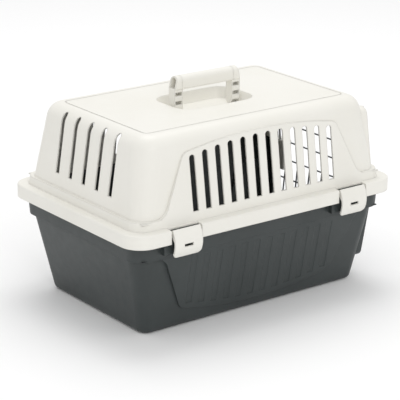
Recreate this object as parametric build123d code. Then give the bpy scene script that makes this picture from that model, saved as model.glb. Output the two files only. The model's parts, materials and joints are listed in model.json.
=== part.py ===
"""Pet carrier: a tray and a vented roof shell held by four clips, with a wire door and a folding handle.

Millimetres. +X points out of the door, +Z up. The origin is on the floor below the middle of the carrier.
"""

import math
import os

from build123d import *

# Shell material
WALL = 2.5

# Rim where the two shells meet
RIM_LENGTH = 480.0
RIM_WIDTH = 325.0
RIM_RADIUS = 32.0
RIM_TOP = 165.0
SKIRT_BOTTOM = 145.2
RIM_EDGE_FILLET = 3.0

# Roof shell: the band above the rim, and the walls that stand on it
BAND_SETBACK_X = 16.3
BAND_SETBACK_Y = 16.0
BAND_HALF_X = RIM_LENGTH / 2 - BAND_SETBACK_X
BAND_HALF_Y = RIM_WIDTH / 2 - BAND_SETBACK_Y
BAND_TOP = 177.5
BAND_LEAN = 0.141
BAND_CORNER = 24.0
ROOF_Z = 290.0
ROOF_SETBACK_X = 22.0
ROOF_SETBACK_Y = 17.0
ROOF_HALF_X = BAND_HALF_X - ROOF_SETBACK_X
ROOF_HALF_Y = BAND_HALF_Y - ROOF_SETBACK_Y
ROOF_LEAN_X = 0.154
ROOF_LEAN_Y = 0.107
ROOF_CORNER_TOP = 32.0
ROOF_CORNER_LOW = 24.0
SHOULDER_RADIUS = 24.0
GROOVE_LENGTH = 360.0
GROOVE_WIDTH = 207.0
GROOVE_CORNER = 9.0
GROOVE_SIZE = 1.4
GROOVE_DEPTH = 0.9

# Tray: the band below the rim, and the walls down to the foot
TRAY_BAND_SETBACK_X = 14.2
TRAY_BAND_SETBACK_Y = 16.3
TRAY_BAND_HALF_X = RIM_LENGTH / 2 - TRAY_BAND_SETBACK_X
TRAY_BAND_HALF_Y = RIM_WIDTH / 2 - TRAY_BAND_SETBACK_Y
TRAY_SETBACK_X = 29.5
TRAY_SETBACK_Y = 26.5
TRAY_HALF_X = TRAY_BAND_HALF_X - TRAY_SETBACK_X
TRAY_HALF_Y = TRAY_BAND_HALF_Y - TRAY_SETBACK_Y
TRAY_LEAN_X = 0.206
TRAY_LEAN_Y = 0.176
TRAY_CORNER_LOW = 15.0
TRAY_CORNER_TOP = 24.0
TRAY_FOOT_FILLET = 9.0
TRAY_BAND_BOTTOM = 119.5
TRAY_BAND_LEAN = 0.065
TRAY_FLANGE_REACH = 8.8

# Raised side panels, as half outlines: x where they leave the band and x at their far corners
PANEL_FOOT_X = 177.5
PANEL_CORNER_X = 139.0
PANEL_CORNER_FILLET = 14.0
PANEL_FOOT_FILLET = 24.0
PANEL_FOOT_REACH = 38.4
ROOF_PANEL_CORNER_Z = 262.0
ROOF_PANEL_CROWN_Z = 275.0
TRAY_PANEL_CORNER_Z = 31.0
TRAY_PANEL_CROWN_Z = 15.0
TRAY_PANEL_LEAN = 0.2
FLUTE_WIDTH = 11.3
FLUTE_DEPTH = 1.0
FLUTE_TOP = 112.0
FLUTE_MARGIN = 9.0

# Ventilation slots
SLOT_COUNT = 12
SLOT_PITCH = 22.64
SLOT_WIDTH = 9.6
SLOT_BOTTOM = 178.6
SLOT_TOP_MIDDLE = 268.7
SLOT_TOP_END = 258.0
END_SLOT_COUNT = 5
END_SLOT_PITCH = 33.5
END_SLOT_WIDTH = 9.0
END_SLOT_BOTTOM = 196.5
END_SLOT_TOP = 284.5

# Door end: raised surround and doorway
SURROUND_SETBACK = 7.5
SURROUND_SIDE = 23.0
SURROUND_CORNER = 8.0
SURROUND_HALF_Y = ROOF_HALF_Y - SURROUND_SETBACK
DOORWAY_HALF_Y = SURROUND_HALF_Y - SURROUND_SIDE
DOORWAY_TOP = 256.0
DOORWAY_BOTTOM = 47.0
DOORWAY_CORNER = 12.0
LINTEL = 11.0
SILL = 12.5
SURROUND_TOP = DOORWAY_TOP + LINTEL
SURROUND_BOTTOM = DOORWAY_BOTTOM - SILL

# Wire door: two flat halves that meet in a shallow bend at the rim
WIRE_RADIUS = 1.3
FRAME_WIRE_RADIUS = 1.5
WELD_SINK = 0.3
BEND_SETBACK = 2.4
BEND_X = BAND_HALF_X - BEND_SETBACK
BEND_Z = 145.0
UPPER_LEAN = math.degrees(math.atan(0.095))
LOWER_LEAN = math.degrees(math.atan(0.113))
DOOR_EDGE_GAP = 6.0
DOOR_TOP = DOORWAY_TOP - DOOR_EDGE_GAP
DOOR_BOTTOM = DOORWAY_BOTTOM + DOOR_EDGE_GAP
STILE_GAP = 5.5
STILE_Y = DOORWAY_HALF_Y - STILE_GAP
LATCH_BAY = 21.0
UPRIGHT_COUNT = 6
EDGE_UPRIGHT_Y = STILE_Y - LATCH_BAY
UPRIGHT_PITCH = 2 * EDGE_UPRIGHT_Y / (UPRIGHT_COUNT - 1)
CROSS_PITCH = 30.0
CROSS_LOWEST = 76.0
CROSS_COUNT = 6
HINGE_REACH = 2.7
HINGE_GAP = 4.0
HINGE_X = BEND_X + HINGE_REACH
HINGE_Y = HINGE_GAP - DOORWAY_HALF_Y
HINGE_EYE_HALF = 4.0
HINGE_EYE_FILLET = 3.5
HINGE_EYE_HEIGHT = 6.0
PIN_DEPTH = 5.0
PIN_END_GAP = 0.4

# Running clearance of a shaft in its hole, and the gap between pieces that pass each other
SHAFT_CLEARANCE = 0.07
PASS_GAP = 0.4

# Door latch, in the door's own plane: x out of the plane, z along it from the bend
BOLT_RADIUS = 1.5
BOLT_STILE_GAP = 10.5
BOLT_Y = STILE_Y - BOLT_STILE_GAP
BOLT_OFFSET = -3.6
BOLT_TRAVEL = 5.0
BOLT_END_GAP = 2.0
BOLT_SINK = 2.0
LATCH_MARGIN_LOW = 3.1
LATCH_MARGIN_HIGH = 3.7
LATCH_Y_LOW = EDGE_UPRIGHT_Y - LATCH_MARGIN_LOW
LATCH_Y_HIGH = STILE_Y + LATCH_MARGIN_HIGH
LATCH_HALF_HEIGHT = 24.0
LATCH_BACK = -10.0
LATCH_FRONT = 6.5
LATCH_EDGE_FILLET = 1.6
LATCH_WINDOW_WIDTH = 14.0
LATCH_WINDOW_BACK = 1.2
TAB_HEIGHT = 10.0
TAB_GAP = 2.6
TAB_BACK = 0.8
TAB_SETBACK = 1.0
TAB_RIDGE_FRONT = 9.5
TAB_RIDGE_HEIGHT = 4.0
TAB_RIDGE_FILLET = 1.5
LATCH_WINDOW_HALF = TAB_GAP + TAB_HEIGHT + BOLT_TRAVEL + TAB_SETBACK
SPRING_RADIUS = 2.2
SPRING_WIRE = 0.35
SPRING_TURNS = 4
GUIDE_WIDTH = 9.0
GUIDE_HEIGHT = 6.0
GUIDE_WALL = 1.6
GUIDE_FILLET = 1.0

# Door stops in the tray's jamb
STOP_SIZE = 4.0
STOP_MARGIN = 14.0
STOP_OVERLAP = 1.0

# Side clips and what they work on; clip points are Y from the rim's side, and Z
CLIP_END_GAP = 88.0
CLIP_X = RIM_LENGTH / 2 - CLIP_END_GAP
CLIP_WIDTH = 47.5
CLIP_THICKNESS = 2.5
CLIP_CORNER = 7.0
CLIP_TOP = (RIM_WIDTH / 2 - 1.9, 165.0)
CLIP_BELLY = (RIM_WIDTH / 2 + 5.0, 147.0)
CLIP_BOTTOM = (RIM_WIDTH / 2 - 1.3, 124.0)
CLIP_PIVOT = (RIM_WIDTH / 2 - 5.0, 159.5)
CLIP_TRUNNION_RADIUS = 1.75
CLIP_HUB_RADIUS = 3.2
CLIP_NIB_HEIGHT = 3.4
CLIP_NIB_MARGIN = 8.0
CLIP_WEB_SINK = 1.0
CLIP_SIDE_GAP = 2.3
CLIP_SLOT_LENGTH = 15.0
CLIP_SLOT_HEIGHT = 4.0
CLIP_SLOT_Z = 141.5
EAR_THICKNESS = 3.0
EAR_MARGIN = 1.0
CATCH_HALF_WIDTH = 34.0
CATCH_FACE_Y = RIM_WIDTH / 2 - 6.5
CATCH_BOTTOM = 128.7
CATCH_TOP = 150.0
CLIP_BAY_Y = RIM_WIDTH / 2 - 10.5

# Carry handle and its dish
HANDLE_HALF_LENGTH = 60.0
HANDLE_TOP = 331.0
GRIP_HEIGHT = 20.5
GRIP_DEPTH = 16.5
GRIP_CROWN = 8.0
GRIP_CORNER = 3.0
GRIP_WALL = 2.6
GRIP_END_SLANT = 5.0
COLLAR_X = 47.0
COLLAR_GROOVE = 0.8
LEG_WIDTH = 15.0
LEG_DEPTH = 14.0
HANDLE_TRUNNION_RADIUS = 2.5
HANDLE_EAR_HALF_Y = 5.0
WINDOW_WIDTH = 11.4
WINDOW_HEIGHT = 5.2
WINDOW_PITCH = 13.2
WINDOW_COUNT = 3
WINDOW_DEPTH = 9.0
WINDOW_TOP_GAP = 3.1
DISH_HALF_X = HANDLE_HALF_LENGTH + 8.0
DISH_HALF_Y = 44.0
DISH_CORNER = 26.0
DISH_DEPTH = 16.5
DISH_SLOPE = 7.0
LEG_FLOOR_GAP = 1.5
HANDLE_PIVOT_Z = ROOF_Z - DISH_DEPTH + LEG_FLOOR_GAP + LEG_DEPTH / 2

FLANGE_BOTTOM = RIM_TOP - WALL
SIDES = (-1, 1)


def rounded(half_x, half_y, radius, z):
    return Pos(0, 0, z) * RectangleRounded(2 * half_x, 2 * half_y, radius)


def tapered(lower, upper):
    return loft([lower, upper], ruled=True)


def slab(x_range, y_range, z_range):
    """Box from its ranges along each axis."""
    size = [high - low for low, high in (x_range, y_range, z_range)]
    centre = [(low + high) / 2 for low, high in (x_range, y_range, z_range)]
    return Pos(*centre) * Box(*size)


def rod(start, end, radius):
    """Round bar between two points."""
    axis = Vector(*end) - Vector(*start)
    return extrude(Plane(Vector(*start), z_dir=axis) * Circle(radius), amount=axis.length)


def across_y(outline):
    """Prism through both side walls from an outline in X and Z."""
    return extrude(Plane.XZ * outline, amount=RIM_WIDTH, both=True)


def along_x(outline, start, end):
    """Prism from an outline in Y and Z, from one X to another."""
    return extrude(Plane.YZ.offset(start) * outline, amount=end - start)


# Roof shell
def roof_wall(z, inset):
    drop = ROOF_Z - z
    share = drop / (ROOF_Z - BAND_TOP)
    radius = ROOF_CORNER_TOP + share * (ROOF_CORNER_LOW - ROOF_CORNER_TOP)
    return rounded(
        ROOF_HALF_X + ROOF_LEAN_X * drop - inset,
        ROOF_HALF_Y + ROOF_LEAN_Y * drop - inset,
        radius - inset,
        z,
    )


def roof_band(z, inset):
    drop = BAND_TOP - z
    return rounded(
        BAND_HALF_X + BAND_LEAN * drop - inset,
        BAND_HALF_Y + BAND_LEAN * drop - inset,
        BAND_CORNER - inset,
        z,
    )


def panel_outline(foot_z, beyond_z, corner_z, crown_z):
    """Bell outline of a raised side panel, flaring into the band at its foot."""
    end_x = PANEL_FOOT_X + PANEL_FOOT_REACH
    arch = ThreePointArc((-PANEL_CORNER_X, corner_z), (0, crown_z), (PANEL_CORNER_X, corner_z))
    path = Polyline(
        (PANEL_CORNER_X, corner_z),
        (PANEL_FOOT_X, foot_z),
        (end_x, foot_z),
        (end_x, beyond_z),
        (-end_x, beyond_z),
        (-end_x, foot_z),
        (-PANEL_FOOT_X, foot_z),
        (-PANEL_CORNER_X, corner_z),
    )
    face = make_face([arch, *path.edges()])
    corners = [v for v in face.vertices() if abs(v.Y - corner_z) < 1]
    face = fillet(corners, PANEL_CORNER_FILLET)
    feet = [v for v in face.vertices() if abs(v.Y - foot_z) < 1 and abs(v.X) < end_x - 1]
    return fillet(feet, PANEL_FOOT_FILLET)


def surround_outline(low, high, rounded_at):
    """Door surround in Y and Z, with rounded corners at its free end."""
    face = Pos(0, (low + high) / 2) * Rectangle(2 * SURROUND_HALF_Y, high - low)
    corners = [v for v in face.vertices() if abs(v.Y - rounded_at) < 1]
    return fillet(corners, SURROUND_CORNER)


def envelope(low, high, half_low, half_high):
    """Block between the raised faces, leaning inwards from one height to another."""
    low_face = Pos(0, 0, low) * Rectangle(2 * half_low[0], 2 * half_low[1])
    high_face = Pos(0, 0, high) * Rectangle(2 * half_high[0], 2 * half_high[1])
    return tapered(low_face, high_face)


def raised_faces(low, high, half_low, half_high, bell, surround, inset):
    """Side panels and door surround standing proud of the walls."""
    if inset:
        bell = offset(bell, amount=-inset)
        surround = offset(surround, amount=-inset)
    wide = RIM_LENGTH
    sides = envelope(low, high, (wide, half_low[1] - inset), (wide, half_high[1] - inset))
    ends = envelope(low, high, (half_low[0] - inset, wide), (half_high[0] - inset, wide))
    return across_y(bell) & sides, along_x(surround, 0, wide) & ends


def roof_form(inset):
    """Solid form of the roof shell; the inner form, made with an inset, runs out below it."""
    base = FLANGE_BOTTOM - (WALL if inset else 0)
    wall = tapered(roof_wall(base, inset), roof_wall(ROOF_Z - inset, inset))
    wall = fillet(wall.edges().group_by(Axis.Z)[-1], SHOULDER_RADIUS - inset)
    band = tapered(roof_band(base, inset), roof_band(BAND_TOP - inset, inset))
    low = BAND_TOP - WALL - inset
    rise = BAND_LEAN * (BAND_TOP - low)
    fall = BAND_LEAN * (ROOF_Z - BAND_TOP)
    panels, surround = raised_faces(
        low,
        ROOF_Z,
        (BAND_HALF_X + rise, BAND_HALF_Y + rise),
        (BAND_HALF_X - fall, BAND_HALF_Y - fall),
        panel_outline(BAND_TOP - 1, low, ROOF_PANEL_CORNER_Z, ROOF_PANEL_CROWN_Z),
        surround_outline(low, SURROUND_TOP, SURROUND_TOP),
        inset,
    )
    return wall + band + panels + surround


def slot_cutter(width, bottom, top):
    """Slot with a round top and square foot, centred on its own axis."""
    straight = top - width / 2 - bottom
    body = Pos(0, bottom + straight / 2) * Rectangle(width, straight)
    return body + Pos(0, top - width / 2) * Circle(width / 2)


def side_slots():
    reach = SLOT_PITCH * (SLOT_COUNT - 1) / 2
    cutters = []
    for index in range(SLOT_COUNT):
        x = index * SLOT_PITCH - reach
        top = SLOT_TOP_MIDDLE - (SLOT_TOP_MIDDLE - SLOT_TOP_END) * (x / reach) ** 2
        cutters.append(across_y(Pos(x, 0) * slot_cutter(SLOT_WIDTH, SLOT_BOTTOM, top)))
    return cutters


def end_slots():
    cutter = slot_cutter(END_SLOT_WIDTH, END_SLOT_BOTTOM, END_SLOT_TOP)
    middle = (END_SLOT_COUNT - 1) / 2
    inner = -(ROOF_HALF_X - SHOULDER_RADIUS - END_SLOT_WIDTH)
    return [
        along_x(Pos((index - middle) * END_SLOT_PITCH, 0) * cutter, -RIM_LENGTH, inner)
        for index in range(END_SLOT_COUNT)
    ]


def doorway():
    height = DOORWAY_TOP - DOORWAY_BOTTOM
    face = RectangleRounded(2 * DOORWAY_HALF_Y, height, DOORWAY_CORNER)
    return along_x(Pos(0, DOORWAY_BOTTOM + height / 2) * face, RIM_LENGTH / 4, RIM_LENGTH)


def hinge_eye(low, high, pin_low, pin_high, back_x):
    """Boss that carries one end of the door's hinge rod, with its hole."""
    block = slab(
        (back_x, HINGE_X + HINGE_EYE_HALF),
        (HINGE_Y - HINGE_EYE_HALF, HINGE_Y + HINGE_EYE_HALF),
        (low, high),
    )
    block = fillet(block.edges().filter_by(Axis.Z).group_by(Axis.X)[-1], HINGE_EYE_FILLET)
    hole = rod(
        (HINGE_X, HINGE_Y, pin_low),
        (HINGE_X, HINGE_Y, pin_high),
        FRAME_WIRE_RADIUS + SHAFT_CLEARANCE,
    )
    return block, hole


def clip_places():
    return [(x * CLIP_X, side) for x in SIDES for side in SIDES]


def rim():
    """Flange and hanging skirt around the roof shell's foot, cut away for the clips."""
    height = RIM_TOP - SKIRT_BOTTOM
    block = extrude(rounded(RIM_LENGTH / 2, RIM_WIDTH / 2, RIM_RADIUS, SKIRT_BOTTOM), amount=height)
    block = fillet(block.edges().group_by(Axis.Z)[-1], RIM_EDGE_FILLET)
    hollow = rounded(RIM_LENGTH / 2 - WALL, RIM_WIDTH / 2 - WALL, RIM_RADIUS - WALL, SKIRT_BOTTOM)
    return block - extrude(hollow, amount=height - WALL)


def clip_bays():
    """Space for each clip in the roof's rim."""
    half = CLIP_WIDTH / 2 + CLIP_SIDE_GAP
    return [
        slab(
            (x - half, x + half),
            sorted((side * CLIP_BAY_Y, side * RIM_WIDTH)),
            (SKIRT_BOTTOM - WALL, RIM_TOP + WALL),
        )
        for x, side in clip_places()
    ]


def clip_ears():
    """Ears under the flange that carry the clips' trunnions."""
    ears = []
    inner = CLIP_WIDTH / 2 + CLIP_SIDE_GAP
    pivot_y, pivot_z = CLIP_PIVOT
    for x, side in clip_places():
        hole = rod(
            (x - inner - EAR_THICKNESS, side * pivot_y, pivot_z),
            (x + inner + EAR_THICKNESS, side * pivot_y, pivot_z),
            CLIP_TRUNNION_RADIUS + SHAFT_CLEARANCE,
        )
        for end in SIDES:
            ear = slab(
                sorted((x + end * inner, x + end * (inner + EAR_THICKNESS))),
                sorted((side * (pivot_y - CLIP_HUB_RADIUS), side * (RIM_WIDTH / 2 - WALL / 2))),
                (pivot_z - CLIP_HUB_RADIUS - EAR_MARGIN, RIM_TOP - WALL / 2),
            )
            ears.append(ear - hole)
    return ears


def dish(grow, z):
    """Hollow in the roof below the handle, or its outside form when grown."""
    upper = rounded(DISH_HALF_X + grow, DISH_HALF_Y + grow, DISH_CORNER + grow, z)
    lower = rounded(
        DISH_HALF_X - DISH_SLOPE + grow,
        DISH_HALF_Y - DISH_SLOPE + grow,
        DISH_CORNER - DISH_SLOPE + grow,
        z - DISH_DEPTH,
    )
    return tapered(lower, upper)


def handle_ears():
    """Ears beside the handle's legs that carry its trunnions."""
    floor = ROOF_Z - DISH_DEPTH - WALL / 2
    height = HANDLE_PIVOT_Z - floor
    profile = Pos(0, floor + height / 2) * Rectangle(2 * HANDLE_EAR_HALF_Y, height)
    profile += Pos(0, HANDLE_PIVOT_Z) * Circle(HANDLE_EAR_HALF_Y)
    profile -= Pos(0, HANDLE_PIVOT_Z) * Circle(HANDLE_TRUNNION_RADIUS + SHAFT_CLEARANCE)
    near = HANDLE_HALF_LENGTH + PASS_GAP
    return [
        along_x(profile, near, near + EAR_THICKNESS),
        along_x(profile, -near - EAR_THICKNESS, -near),
    ]


def make_roof_shell():
    shell = rim() + roof_form(0) - roof_form(WALL)
    shell += dish(WALL, ROOF_Z - WALL)
    shell -= dish(0, ROOF_Z)
    groove = RectangleRounded(GROOVE_LENGTH + GROOVE_SIZE, GROOVE_WIDTH + GROOVE_SIZE, GROOVE_CORNER)
    groove -= RectangleRounded(
        GROOVE_LENGTH - GROOVE_SIZE, GROOVE_WIDTH - GROOVE_SIZE, GROOVE_CORNER - GROOVE_SIZE
    )
    shell -= Pos(0, 0, ROOF_Z - GROOVE_DEPTH) * extrude(groove, amount=WALL)
    for cutter in [*side_slots(), *end_slots(), doorway(), *clip_bays()]:
        shell -= cutter
    for ear in [*clip_ears(), *handle_ears()]:
        shell += ear
    back = BAND_HALF_X - BAND_LEAN * (DOORWAY_TOP - BAND_TOP) - WALL
    block, hole = hinge_eye(
        DOORWAY_TOP - WALL / 2,
        DOORWAY_TOP + HINGE_EYE_HEIGHT,
        DOORWAY_TOP - WALL,
        DOORWAY_TOP + PIN_DEPTH,
        back,
    )
    return shell + block - hole


# Tray
def tray_wall(z, inset):
    share = min(z, TRAY_BAND_BOTTOM) / TRAY_BAND_BOTTOM
    radius = TRAY_CORNER_LOW + share * (TRAY_CORNER_TOP - TRAY_CORNER_LOW)
    return rounded(
        TRAY_HALF_X + TRAY_LEAN_X * z - inset,
        TRAY_HALF_Y + TRAY_LEAN_Y * z - inset,
        radius - inset,
        z,
    )


def tray_band(z, inset):
    rise = TRAY_BAND_LEAN * (z - TRAY_BAND_BOTTOM)
    return rounded(
        TRAY_BAND_HALF_X + rise - inset,
        TRAY_BAND_HALF_Y + rise - inset,
        TRAY_CORNER_TOP - inset,
        z,
    )


def tray_form(inset):
    """Solid form of the tray; the inner form, made with an inset, runs out above it."""
    top = FLANGE_BOTTOM + (WALL if inset else 0)
    seam = TRAY_BAND_BOTTOM + WALL
    wall = tapered(tray_wall(inset, inset), tray_wall(seam + inset, inset))
    wall = fillet(wall.edges().group_by(Axis.Z)[0], TRAY_FOOT_FILLET - inset)
    band = tapered(tray_band(TRAY_BAND_BOTTOM + inset, inset), tray_band(top, inset))
    high = TRAY_BAND_BOTTOM + WALL + inset
    drop = TRAY_PANEL_LEAN * TRAY_BAND_BOTTOM
    panels, surround = raised_faces(
        0,
        high,
        (TRAY_BAND_HALF_X - drop, TRAY_BAND_HALF_Y - drop),
        (TRAY_BAND_HALF_X, TRAY_BAND_HALF_Y),
        panel_outline(TRAY_BAND_BOTTOM + 1, high, TRAY_PANEL_CORNER_Z, TRAY_PANEL_CROWN_Z),
        surround_outline(SURROUND_BOTTOM, high, SURROUND_BOTTOM),
        inset,
    )
    return wall + band + panels + surround


def flutes():
    """Shallow upright channels in the raised tray panels, one below each slot."""
    angle = math.degrees(math.atan(TRAY_PANEL_LEAN))
    reach = SLOT_PITCH * (SLOT_COUNT - 1) / 2
    half = FLUTE_WIDTH / 2
    profile = Polyline(
        (-half - FLUTE_DEPTH, -FLUTE_DEPTH),
        (half + FLUTE_DEPTH, -FLUTE_DEPTH),
        (half - FLUTE_DEPTH, FLUTE_DEPTH),
        (FLUTE_DEPTH - half, FLUTE_DEPTH),
        close=True,
    )
    cutters = []
    for index in range(SLOT_COUNT):
        x = index * SLOT_PITCH - reach
        rise = (TRAY_PANEL_CORNER_Z - TRAY_PANEL_CROWN_Z) * (x / PANEL_CORNER_X) ** 2
        bottom = TRAY_PANEL_CROWN_Z + FLUTE_MARGIN + rise
        middle = (bottom + FLUTE_TOP) / 2
        length = (FLUTE_TOP - bottom) / math.cos(math.radians(angle))
        channel = extrude(make_face(profile), amount=length / 2, both=True)
        y = TRAY_BAND_HALF_Y - TRAY_PANEL_LEAN * (TRAY_BAND_BOTTOM - middle)
        for side in SIDES:
            facing = Rot(-side * angle, 0, 0) * Rot(0, 0, 90 + side * 90)
            cutters.append(Pos(x, side * y, middle) * facing * channel)
    return cutters


def catches():
    """Blocks under the rim whose lower edges the clips hook on."""
    return [
        slab(
            (x - CATCH_HALF_WIDTH, x + CATCH_HALF_WIDTH),
            sorted((side * (TRAY_BAND_HALF_Y - WALL / 2), side * CATCH_FACE_Y)),
            (CATCH_BOTTOM, CATCH_TOP),
        )
        for x, side in clip_places()
    ]


def tray_flange():
    """Flange that the roof's rim rests on, notched where the clips turn."""
    rise = TRAY_BAND_LEAN * (FLANGE_BOTTOM - TRAY_BAND_BOTTOM)
    reach = RIM_WIDTH / 2 - TRAY_FLANGE_REACH - (TRAY_BAND_HALF_Y + rise)
    face = rounded(
        TRAY_BAND_HALF_X + rise + reach,
        TRAY_BAND_HALF_Y + rise + reach,
        TRAY_CORNER_TOP + reach,
        FLANGE_BOTTOM - WALL,
    )
    plate = extrude(face, amount=WALL)
    half = CLIP_WIDTH / 2 + CLIP_SIDE_GAP
    for x, side in clip_places():
        plate -= slab(
            (x - half, x + half),
            sorted((side * CLIP_BAY_Y, side * RIM_WIDTH)),
            (FLANGE_BOTTOM - 2 * WALL, RIM_TOP),
        )
    return plate


def door_plane(z):
    """X of the door's wires at a height."""
    lean = UPPER_LEAN if z > BEND_Z else LOWER_LEAN
    return BEND_X - math.tan(math.radians(lean)) * abs(z - BEND_Z)


def door_stops():
    """Nibs inside the tray's jamb that the door's free stile closes against."""
    stops = []
    jamb = (DOORWAY_HALF_Y, DOORWAY_HALF_Y + STOP_SIZE)
    for z in (DOORWAY_BOTTOM + STOP_MARGIN, TRAY_BAND_BOTTOM - STOP_MARGIN):
        outer = TRAY_BAND_HALF_X - TRAY_PANEL_LEAN * (TRAY_BAND_BOTTOM - z)
        front = door_plane(z - STOP_SIZE) - FRAME_WIRE_RADIUS - PASS_GAP
        height = (z - STOP_SIZE, z + STOP_SIZE)
        arm = slab((front - STOP_SIZE, outer - WALL / 2), jamb, height)
        nib = slab((front - STOP_SIZE, front), (STILE_Y - STOP_OVERLAP, jamb[1]), height)
        stops.append(arm + nib)
    return stops


def make_tray():
    tray = tray_form(0) + tray_flange()
    for block in catches():
        tray += block
    tray -= tray_form(WALL)
    for cutter in [*flutes(), doorway()]:
        tray -= cutter
    for stop in door_stops():
        tray += stop
    back = TRAY_BAND_HALF_X - TRAY_PANEL_LEAN * (TRAY_BAND_BOTTOM - DOORWAY_BOTTOM) - WALL
    block, hole = hinge_eye(
        DOORWAY_BOTTOM - HINGE_EYE_HEIGHT,
        DOORWAY_BOTTOM + WALL / 2,
        DOORWAY_BOTTOM - PIN_DEPTH,
        DOORWAY_BOTTOM + WALL,
        back,
    )
    return tray + block - hole


# Clips
def make_clip(x, side):
    """Sprung clip that hangs from the roof's rim and hooks under the tray's catch."""
    outer = ThreePointArc(CLIP_TOP, CLIP_BELLY, CLIP_BOTTOM)
    centre = Vector(outer.arc_center)
    radius = outer.radius

    def inner_point(point):
        ray = (Vector(*point) - centre).normalized()
        return centre + ray * (radius - CLIP_THICKNESS)

    inner = ThreePointArc(inner_point(CLIP_BOTTOM), inner_point(CLIP_BELLY), inner_point(CLIP_TOP))
    plate = make_face([
        outer,
        Line(CLIP_BOTTOM, inner_point(CLIP_BOTTOM)),
        inner,
        Line(inner_point(CLIP_TOP), CLIP_TOP),
    ])
    half = CLIP_WIDTH / 2
    body = along_x(plate, -half, half)
    corners = body.edges().filter_by(lambda edge: abs(edge.length - CLIP_THICKNESS) < 0.01)
    corners = [edge for edge in corners if abs(abs(edge.center().X) - half) < 0.01]
    low_corners = [edge for edge in corners if edge.center().Z < CLIP_BELLY[1]]
    body = fillet(low_corners, CLIP_CORNER)
    nib_y = CATCH_FACE_Y + PASS_GAP
    nib_top = CATCH_BOTTOM - 2 * PASS_GAP
    body += slab(
        (CLIP_NIB_MARGIN - half, half - CLIP_NIB_MARGIN),
        (nib_y, inner_point(CLIP_BOTTOM).X + CLIP_THICKNESS / 2),
        (nib_top - CLIP_NIB_HEIGHT, nib_top),
    )
    pivot = Vector(*CLIP_PIVOT)
    belly = inner_point(CLIP_BELLY)
    web = make_face(
        Polyline(
            (inner_point(CLIP_TOP).X + CLIP_WEB_SINK, inner_point(CLIP_TOP).Y),
            (pivot.X, pivot.Y + CLIP_HUB_RADIUS),
            (pivot.X, pivot.Y - CLIP_HUB_RADIUS),
            (belly.X + CLIP_WEB_SINK, belly.Y),
            close=True,
        )
    )
    web += Pos(pivot.X, pivot.Y) * Circle(CLIP_HUB_RADIUS)
    for end in SIDES:
        start = end * (half - CLIP_THICKNESS)
        low, high = sorted((start, end * half))
        body += along_x(web, low, high)
        tip = end * (half + CLIP_SIDE_GAP + EAR_THICKNESS - PASS_GAP)
        low, high = sorted((start, tip))
        body += along_x(Pos(pivot.X, pivot.Y) * Circle(CLIP_TRUNNION_RADIUS), low, high)
    slot = Box(CLIP_SLOT_LENGTH, 4 * CLIP_THICKNESS, CLIP_SLOT_HEIGHT)
    body -= Pos(0, CLIP_BELLY[0], CLIP_SLOT_Z) * slot
    if side < 0:
        body = mirror(body, about=Plane.XZ)
    return Pos(x, 0, 0) * body


# Handle
def grip_section(centre_z):
    """Outline of the grip in Y and Z: an arch with a full round crown."""
    face = Rectangle(GRIP_DEPTH, GRIP_HEIGHT)
    face = fillet(face.vertices().group_by(Axis.Y)[-1], GRIP_CROWN)
    face = fillet(face.vertices().group_by(Axis.Y)[0], GRIP_CORNER)
    return Pos(0, centre_z) * face


def make_handle():
    """Carry handle: a grip with open ends on two legs with windows in their near sides."""
    half = HANDLE_HALF_LENGTH
    grip_bottom = HANDLE_TOP - GRIP_HEIGHT
    centre_z = HANDLE_TOP - GRIP_HEIGHT / 2
    section = grip_section(centre_z)
    handle = along_x(section, -half, half)
    legs = Pos(0, (HANDLE_PIVOT_Z + centre_z) / 2) * Rectangle(LEG_DEPTH, centre_z - HANDLE_PIVOT_Z)
    legs += Pos(0, HANDLE_PIVOT_Z) * Circle(LEG_DEPTH / 2)
    bore = offset(section, amount=-GRIP_WALL)
    collar = section - offset(section, amount=-COLLAR_GROOVE / 2)
    side_wall = (LEG_WIDTH - WINDOW_WIDTH) / 2
    for end in SIDES:
        low, high = sorted((end * half, end * (half - LEG_WIDTH)))
        handle += along_x(legs, low, high)
        handle -= along_x(bore, low, high)
        start = end * COLLAR_X - COLLAR_GROOVE / 2
        handle -= along_x(collar, start, start + COLLAR_GROOVE)
        for index in range(WINDOW_COUNT):
            top = grip_bottom - WINDOW_TOP_GAP - index * WINDOW_PITCH
            handle -= slab(
                sorted((end * (half - side_wall), end * (half - side_wall - WINDOW_WIDTH))),
                (-LEG_DEPTH, WINDOW_DEPTH - LEG_DEPTH / 2),
                (top - WINDOW_HEIGHT, top),
            )
        low, high = sorted((end * (half - side_wall), end * (half + EAR_THICKNESS)))
        handle += along_x(Pos(0, HANDLE_PIVOT_Z) * Circle(HANDLE_TRUNNION_RADIUS), low, high)
        slant = Polyline(
            (end * half, grip_bottom),
            (end * (half + GRIP_DEPTH), grip_bottom),
            (end * (half + GRIP_DEPTH), HANDLE_TOP),
            (end * (half - GRIP_END_SLANT), HANDLE_TOP),
            close=True,
        )
        handle -= across_y(make_face(slant))
    return handle


# Door wires
def in_door(y, z, out=0.0):
    """Point in the door's plane, or a distance out of it."""
    lean = math.radians(UPPER_LEAN if z > BEND_Z else -LOWER_LEAN)
    return (door_plane(z) + out * math.cos(lean), y, z + out * math.sin(lean))


def wire(points, radius):
    """Bent wire through the points, with round bends."""
    solid = rod(points[0], points[1], radius)
    for bend, end in zip(points[1:], points[2:]):
        solid += Pos(*bend) * Rot(0, 90, 0) * Sphere(radius)
        solid += rod(bend, end, radius)
    return solid


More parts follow.
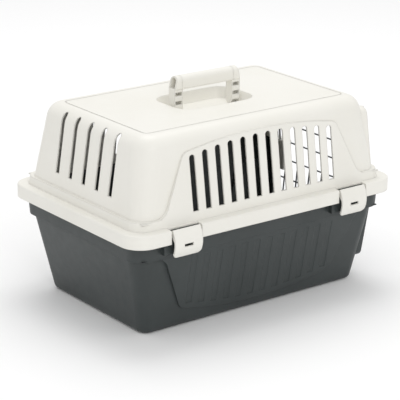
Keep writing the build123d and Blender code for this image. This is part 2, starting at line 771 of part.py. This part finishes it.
def make_door_frame():
    """Top rail, free stile and bottom rail, bent from one wire and welded to the hinge rod."""
    path = [
        (HINGE_X, HINGE_Y + FRAME_WIRE_RADIUS, DOOR_TOP),
        in_door(-EDGE_UPRIGHT_Y, DOOR_TOP),
        in_door(STILE_Y, DOOR_TOP),
        in_door(STILE_Y, BEND_Z),
        in_door(STILE_Y, DOOR_BOTTOM),
        in_door(-EDGE_UPRIGHT_Y, DOOR_BOTTOM),
        (HINGE_X, HINGE_Y + FRAME_WIRE_RADIUS, DOOR_BOTTOM),
    ]
    return wire(path, FRAME_WIRE_RADIUS)


def make_hinge_rod():
    top = DOORWAY_TOP + PIN_DEPTH - PIN_END_GAP
    bottom = DOORWAY_BOTTOM - PIN_DEPTH + PIN_END_GAP
    return rod((HINGE_X, HINGE_Y, bottom), (HINGE_X, HINGE_Y, top), FRAME_WIRE_RADIUS)


def door_height(y):
    """Line up the door's whole height, bent once at the rim's height."""
    return [in_door(y, DOOR_BOTTOM), in_door(y, BEND_Z), in_door(y, DOOR_TOP)]


def make_uprights():
    wires = []
    for index in range(UPRIGHT_COUNT):
        y = index * UPRIGHT_PITCH - EDGE_UPRIGHT_Y
        wires.append(wire(door_height(y), WIRE_RADIUS))
    return wires


def make_cross_wires():
    """Cross wires on the outside of the uprights; two stop short of the latch."""
    out = 2 * WIRE_RADIUS - WELD_SINK
    wires = []
    for index in range(CROSS_COUNT):
        z = CROSS_LOWEST + index * CROSS_PITCH
        beside_latch = abs(z - BEND_Z) < LATCH_HALF_HEIGHT
        end_y = LATCH_Y_LOW - PASS_GAP if beside_latch else STILE_Y + FRAME_WIRE_RADIUS
        wires.append(
            wire(
                [
                    (HINGE_X, HINGE_Y + FRAME_WIRE_RADIUS, z),
                    in_door(-EDGE_UPRIGHT_Y, z, out),
                    in_door(end_y, z, out),
                ],
                WIRE_RADIUS,
            )
        )
    return wires


# Door latch, modelled upright and then leaned with the half of the door that it sits on
UPPER = Pos(BEND_X, 0, BEND_Z) * Rot(0, -UPPER_LEAN, 0)
LOWER = Pos(BEND_X, 0, BEND_Z) * Rot(0, LOWER_LEAN, 0)
UPPER_REACH = (DOORWAY_TOP - BOLT_END_GAP - BEND_Z) / math.cos(math.radians(UPPER_LEAN))
LOWER_REACH = (BEND_Z - DOORWAY_BOTTOM - BOLT_END_GAP) / math.cos(math.radians(LOWER_LEAN))
LATCH_HALVES = {"upper": (UPPER, 1, UPPER_REACH), "lower": (LOWER, -1, LOWER_REACH)}


def latch_shape():
    """Latch body around the stile and the last upright, with a window for the tabs."""
    body = slab(
        (BEND_X + LATCH_BACK, BEND_X + LATCH_FRONT),
        (LATCH_Y_LOW, LATCH_Y_HIGH),
        (BEND_Z - LATCH_HALF_HEIGHT, BEND_Z + LATCH_HALF_HEIGHT),
    )
    body = fillet(body.edges(), LATCH_EDGE_FILLET)
    for place, way, _ in LATCH_HALVES.values():
        body -= place * slab(
            (BOLT_OFFSET - BOLT_RADIUS - LATCH_WINDOW_BACK, 2 * LATCH_FRONT),
            (BOLT_Y - LATCH_WINDOW_WIDTH / 2, BOLT_Y + LATCH_WINDOW_WIDTH / 2),
            sorted((-way * WALL, way * LATCH_WINDOW_HALF)),
        )
        start, end = (BOLT_OFFSET, BOLT_Y, 0), (BOLT_OFFSET, BOLT_Y, way * 2 * LATCH_HALF_HEIGHT)
        body -= place * rod(start, end, BOLT_RADIUS + SHAFT_CLEARANCE)
    for y, radius in ((STILE_Y, FRAME_WIRE_RADIUS), (EDGE_UPRIGHT_Y, WIRE_RADIUS)):
        body -= wire(door_height(y), radius)
    return body


def make_latch_covers():
    """Front and back mouldings of the latch, clipped together over the wires."""
    body = latch_shape()
    split = BEND_X - WIRE_RADIUS / 2
    back = slab((split - RIM_RADIUS, split), (0, RIM_WIDTH / 2), (DOOR_BOTTOM, DOOR_TOP))
    return body - back, body & back


def make_tab(half):
    """Finger tab that carries one bolt."""
    place, way, _ = LATCH_HALVES[half]
    near, far = TAB_GAP, TAB_GAP + TAB_HEIGHT
    reach = LATCH_WINDOW_WIDTH / 2 - PASS_GAP
    y_range = (BOLT_Y - reach, BOLT_Y + reach)
    x_range = (BOLT_OFFSET - BOLT_RADIUS - TAB_BACK, LATCH_FRONT - TAB_SETBACK)
    block = slab(x_range, y_range, sorted((way * near, way * far)))
    ridge = slab((0, TAB_RIDGE_FRONT), y_range, sorted((way * (far - TAB_RIDGE_HEIGHT), way * far)))
    ridge = fillet(ridge.edges().filter_by(Axis.Y).group_by(Axis.X)[-1], TAB_RIDGE_FILLET)
    start, end = (BOLT_OFFSET, BOLT_Y, way * (near + BOLT_SINK)), (BOLT_OFFSET, BOLT_Y, way * 2 * far)
    return place * (block + ridge - rod(start, end, BOLT_RADIUS))


def make_bolt(half):
    """Steel bolt, drawn clear of the shells here; it slides out past the doorway's edge."""
    place, way, reach = LATCH_HALVES[half]
    start, end = (BOLT_OFFSET, BOLT_Y, way * (TAB_GAP + BOLT_SINK)), (BOLT_OFFSET, BOLT_Y, way * reach)
    bolt = rod(start, end, BOLT_RADIUS)
    return place * chamfer(bolt.edges().group_by(Axis.Z)[-1 if way > 0 else 0], BOLT_RADIUS / 3)


def make_guide(half):
    """Guide on the door's rail that the bolt runs in."""
    place, way, _ = LATCH_HALVES[half]
    rail_z = DOOR_TOP if way > 0 else DOOR_BOTTOM
    lean = UPPER_LEAN if way > 0 else LOWER_LEAN
    s = (rail_z - BEND_Z) / math.cos(math.radians(lean))
    block = slab(
        (BOLT_OFFSET - BOLT_RADIUS - GUIDE_WALL, FRAME_WIRE_RADIUS + GUIDE_WALL),
        (BOLT_Y - GUIDE_WIDTH / 2, BOLT_Y + GUIDE_WIDTH / 2),
        (s - GUIDE_HEIGHT / 2, s + GUIDE_HEIGHT / 2),
    )
    block = fillet(block.edges().filter_by(Axis.Y), GUIDE_FILLET)
    block -= rod((0, BOLT_Y - GUIDE_WIDTH, s), (0, BOLT_Y + GUIDE_WIDTH, s), FRAME_WIRE_RADIUS)
    start, end = (BOLT_OFFSET, BOLT_Y, s - GUIDE_HEIGHT), (BOLT_OFFSET, BOLT_Y, s + GUIDE_HEIGHT)
    return place * (block - rod(start, end, BOLT_RADIUS + SHAFT_CLEARANCE))


def make_spring():
    """Coil spring squeezed between the two tabs."""
    height = 2 * (TAB_GAP - SPRING_WIRE) - PASS_GAP
    helix = Helix(height / SPRING_TURNS, height, SPRING_RADIUS)
    profile = Plane(helix @ 0, z_dir=helix % 0) * Circle(SPRING_WIRE)
    return Pos(BEND_X, BOLT_Y, BEND_Z - height / 2) * sweep(profile, path=helix)


def make_parts():
    latch_front, latch_back = make_latch_covers()
    parts = {
        "tray": make_tray(),
        "roof_shell": make_roof_shell(),
        "handle": make_handle(),
        "door_hinge_rod": make_hinge_rod(),
        "door_frame_wire": make_door_frame(),
        "door_upright_wires": make_uprights(),
        "door_cross_wires": make_cross_wires(),
        "latch_front_cover": latch_front,
        "latch_back_cover": latch_back,
        "latch_spring": make_spring(),
    }
    for half in LATCH_HALVES:
        parts[f"{half}_latch_tab"] = make_tab(half)
        parts[f"{half}_latch_bolt"] = make_bolt(half)
        parts[f"{half}_bolt_guide"] = make_guide(half)
    for x, side in clip_places():
        end_name = "front" if x > 0 else "rear"
        side_name = "right" if side < 0 else "left"
        parts[f"clip_{end_name}_{side_name}"] = make_clip(x, side)
    return parts


def main():
    os.makedirs("parts", exist_ok=True)
    for name, shape in make_parts().items():
        if isinstance(shape, list):
            shape = Compound(children=shape)
        export_step(shape, f"parts/{name}.step")
        print(name, len(shape.solids()), round(shape.volume))


main()
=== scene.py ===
"""Looks of the pet carrier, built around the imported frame. Metres."""

import json
import math

import bpy
from mathutils import Matrix, Vector

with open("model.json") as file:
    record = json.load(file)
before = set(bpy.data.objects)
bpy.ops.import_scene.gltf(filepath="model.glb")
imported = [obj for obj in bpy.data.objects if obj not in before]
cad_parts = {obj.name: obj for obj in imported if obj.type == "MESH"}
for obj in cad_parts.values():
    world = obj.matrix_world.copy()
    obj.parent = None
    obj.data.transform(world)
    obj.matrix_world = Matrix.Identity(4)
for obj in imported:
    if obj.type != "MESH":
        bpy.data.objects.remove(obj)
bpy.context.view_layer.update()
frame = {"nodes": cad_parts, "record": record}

# Camera, solved from the photograph's edges
CAMERA_PLACE = (-1.54105, -2.02613, 0.98230)
CAMERA_AZIMUTH = -37.124
CAMERA_ELEVATION = 18.490
CAMERA_ROLL = 0.358
CAMERA_LENS = 161.115
SENSOR_WIDTH = 36.0
CAMERA_REACH = 50

# Studio: white surroundings, a pale floor, and two soft lights as place, target, side and power
WHITE = (1, 1, 1, 1)
WORLD_STRENGTH = 0.80
FLOOR = (0.96, 0.96, 0.96, 1)
FLOOR_ROUGHNESS = 0.9
FLOOR_REACH = 12
FLOOR_DROP = 0.0005
KEY_LIGHT = ((-0.9, -2.8, 1.9), (0, 0, 0.15), 1.4, 17)
TOP_LIGHT = ((0.5, 0.8, 2.6), (0, 0, 0.1), 1.6, 22)

# Surface colours, linear
IVORY = (0.83, 0.815, 0.76, 1)
IVORY_SHADE = (0.80, 0.783, 0.72, 1)
SLATE = (0.030, 0.037, 0.037, 1)
SLATE_LIGHT = (0.038, 0.046, 0.046, 1)
STEEL = (0.40, 0.41, 0.43, 1)
STEEL_DULL = (0.25, 0.26, 0.28, 1)
STEEL_BRIGHT = (0.6, 0.6, 0.62, 1)

# Edges of the mouldings: radius of the softening, and its samples
EDGE_RADIUS = 0.0022
EDGE_SAMPLES = 4

RELIEF_DETAIL = 2
SPRING_ROUGHNESS = 0.22

scene = bpy.context.scene
scene.view_settings.view_transform = "Standard"


def add_camera():
    data = bpy.data.cameras.new("camera")
    data.lens = CAMERA_LENS
    data.sensor_width = SENSOR_WIDTH
    data.clip_end = CAMERA_REACH
    camera = bpy.data.objects.new("camera", data)
    scene.collection.objects.link(camera)
    azimuth = math.radians(CAMERA_AZIMUTH)
    elevation = math.radians(CAMERA_ELEVATION)
    back = Vector((
        math.sin(azimuth) * math.cos(elevation),
        -math.cos(azimuth) * math.cos(elevation),
        math.sin(elevation),
    ))
    right = Vector((math.cos(azimuth), math.sin(azimuth), 0))
    turn = Matrix((right, back.cross(right), back)).transposed()
    roll = Matrix.Rotation(math.radians(CAMERA_ROLL), 3, "Z")
    camera.matrix_world = Matrix.Translation(CAMERA_PLACE) @ (turn @ roll).to_4x4()
    scene.camera = camera


def add_area_light(name, place, target, side, power):
    data = bpy.data.lights.new(name, "AREA")
    data.shape = "RECTANGLE"
    data.size = side
    data.size_y = side
    data.energy = power
    light = bpy.data.objects.new(name, data)
    scene.collection.objects.link(light)
    light.location = place
    light.rotation_mode = "QUATERNION"
    light.rotation_quaternion = (Vector(target) - Vector(place)).to_track_quat("-Z", "Y")


def add_world():
    world = bpy.data.worlds.new("studio")
    world.use_nodes = True
    background = world.node_tree.nodes["Background"]
    background.inputs["Color"].default_value = WHITE
    background.inputs["Strength"].default_value = WORLD_STRENGTH
    scene.world = world


def add_floor():
    mesh = bpy.data.meshes.new("floor")
    signs = ((-1, -1), (1, -1), (1, 1), (-1, 1))
    corners = [(x * FLOOR_REACH, y * FLOOR_REACH, 0) for x, y in signs]
    mesh.from_pydata(corners, [], [(0, 1, 2, 3)])
    floor = bpy.data.objects.new("floor", mesh)
    floor.location.z = -FLOOR_DROP
    scene.collection.objects.link(floor)
    material = bpy.data.materials.new("floor")
    material.use_nodes = True
    shader = material.node_tree.nodes["Principled BSDF"]
    shader.inputs["Base Color"].default_value = FLOOR
    shader.inputs["Roughness"].default_value = FLOOR_ROUGHNESS
    mesh.materials.append(material)


class Shader:
    """A principled material and short ways to add procedural nodes to it."""

    def __init__(self, name, metallic=0.0):
        self.material = bpy.data.materials.new(name)
        self.material.use_nodes = True
        self.tree = self.material.node_tree
        self.surface = self.tree.nodes["Principled BSDF"]
        self.surface.inputs["Metallic"].default_value = metallic
        self.place = self.node("ShaderNodeTexCoord").outputs["Object"]
        self.normal = None

    def node(self, kind, inputs=None, **settings):
        made = self.tree.nodes.new(kind)
        for key, value in settings.items():
            setattr(made, key, value)
        for key, value in (inputs or {}).items():
            if isinstance(value, bpy.types.NodeSocket):
                self.tree.links.new(value, made.inputs[key])
            else:
                made.inputs[key].default_value = value
        return made

    def noise(self, scale, detail):
        inputs = {"Vector": self.place, "Scale": scale, "Detail": detail}
        return self.node("ShaderNodeTexNoise", inputs).outputs["Fac"]

    def colour(self, factor, low, high, span=(0.35, 0.65)):
        """Base colour that goes from one tone to another over a span of the factor."""
        ramp = self.node("ShaderNodeValToRGB", {"Fac": factor})
        for end, position, tone in zip(ramp.color_ramp.elements, span, (low, high)):
            end.position = position
            end.color = tone
        self.link(ramp.outputs["Color"], "Base Color")

    def roughness(self, factor, low, high):
        inputs = {"Value": factor, "To Min": low, "To Max": high}
        self.link(self.node("ShaderNodeMapRange", inputs).outputs["Result"], "Roughness")

    def link(self, output, name):
        self.tree.links.new(output, self.surface.inputs[name])

    def soften_edges(self):
        bevel = self.node("ShaderNodeBevel", {"Radius": EDGE_RADIUS}, samples=EDGE_SAMPLES)
        self.normal = bevel.outputs["Normal"]

    def relief(self, scale, strength, distance):
        """Adds a layer of noise relief over the layers and edges so far."""
        height = self.noise(scale, RELIEF_DETAIL)
        inputs = {"Height": height, "Strength": strength, "Distance": distance}
        if self.normal is not None:
            inputs["Normal"] = self.normal
        self.normal = self.node("ShaderNodeBump", inputs).outputs["Normal"]
        self.link(self.normal, "Normal")


def ivory_plastic():
    """Satin moulded plastic with faint tone patches, sink marks and fine grain."""
    shader = Shader("ivory_plastic")
    shader.colour(shader.noise(scale=9, detail=4), IVORY_SHADE, IVORY, span=(0.2, 0.6))
    shader.roughness(shader.noise(scale=60, detail=3), low=0.36, high=0.50)
    shader.soften_edges()
    shader.relief(scale=28, strength=0.12, distance=0.002)
    shader.relief(scale=1500, strength=0.10, distance=0.0002)
    return shader.material


def slate_plastic():
    """Darker moulding with a coarser grain."""
    shader = Shader("slate_plastic")
    shader.colour(shader.noise(scale=12, detail=4), SLATE, SLATE_LIGHT)
    shader.roughness(shader.noise(scale=80, detail=3), low=0.38, high=0.54)
    shader.soften_edges()
    shader.relief(scale=22, strength=0.15, distance=0.002)
    shader.relief(scale=1100, strength=0.22, distance=0.0003)
    return shader.material


def wire_steel():
    """Drawn and welded wire with a dull zinc coat."""
    shader = Shader("wire_steel", metallic=1.0)
    shader.colour(shader.noise(scale=140, detail=4), STEEL_DULL, STEEL)
    shader.roughness(shader.noise(scale=300, detail=3), low=0.24, high=0.45)
    shader.relief(scale=900, strength=0.15, distance=0.0002)
    return shader.material


def spring_steel():
    """Bright spring wire."""
    shader = Shader("spring_steel", metallic=1.0)
    shader.surface.inputs["Roughness"].default_value = SPRING_ROUGHNESS
    shader.colour(shader.noise(scale=400, detail=2), STEEL, STEEL_BRIGHT)
    shader.relief(scale=1200, strength=0.1, distance=0.0001)
    return shader.material


def finish_nodes():
    """Gives every CAD node the material of its slot."""
    materials = {
        "ivory_plastic": ivory_plastic(),
        "dark_plastic": slate_plastic(),
        "wire_steel": wire_steel(),
        "spring_steel": spring_steel(),
    }
    for part in frame["record"]["subparts"]:
        node = frame["nodes"][part["node"]]
        for slot in node.material_slots:
            slot.material = materials[part["material_slot"]]


add_camera()
add_world()
add_floor()
add_area_light("key", *KEY_LIGHT)
add_area_light("top", *TOP_LIGHT)
finish_nodes()
